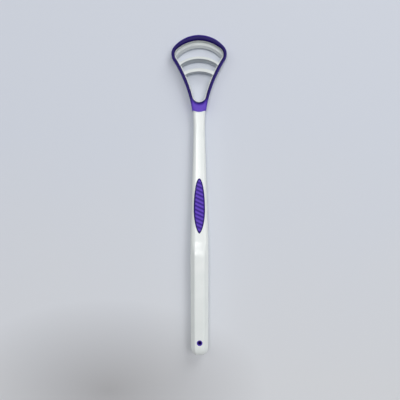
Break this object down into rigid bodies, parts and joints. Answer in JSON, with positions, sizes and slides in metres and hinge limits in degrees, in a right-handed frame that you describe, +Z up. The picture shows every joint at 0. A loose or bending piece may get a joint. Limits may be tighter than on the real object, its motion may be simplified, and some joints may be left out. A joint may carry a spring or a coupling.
{
  "type": "tongue scraper",
  "caption": "Long faceted handle with a ribbed soft pad, a slim neck and a soft-rimmed teardrop loop that carries arched scraping blades.",
  "frame": {"origin": "on the surface the tool lies on, under the middle of its length and width", "axes": "+Y along the handle towards the head, +X across it, +Z up out of the blades' side"},
  "size_m": [0.033, 0.19, 0.009],
  "materials": {
    "hard_white": "gloss",
    "soft_purple": "satin"
  },
  "bodies": {
    "root": {"handle": "hard_white", "grip_pad": "soft_purple", "hang_hole_bush": "soft_purple", "head_frame": "hard_white", "head_rim": "soft_purple", "upper_blade": "hard_white", "middle_blade": "hard_white", "lower_blade": "hard_white"}
  },
  "joints": []
}
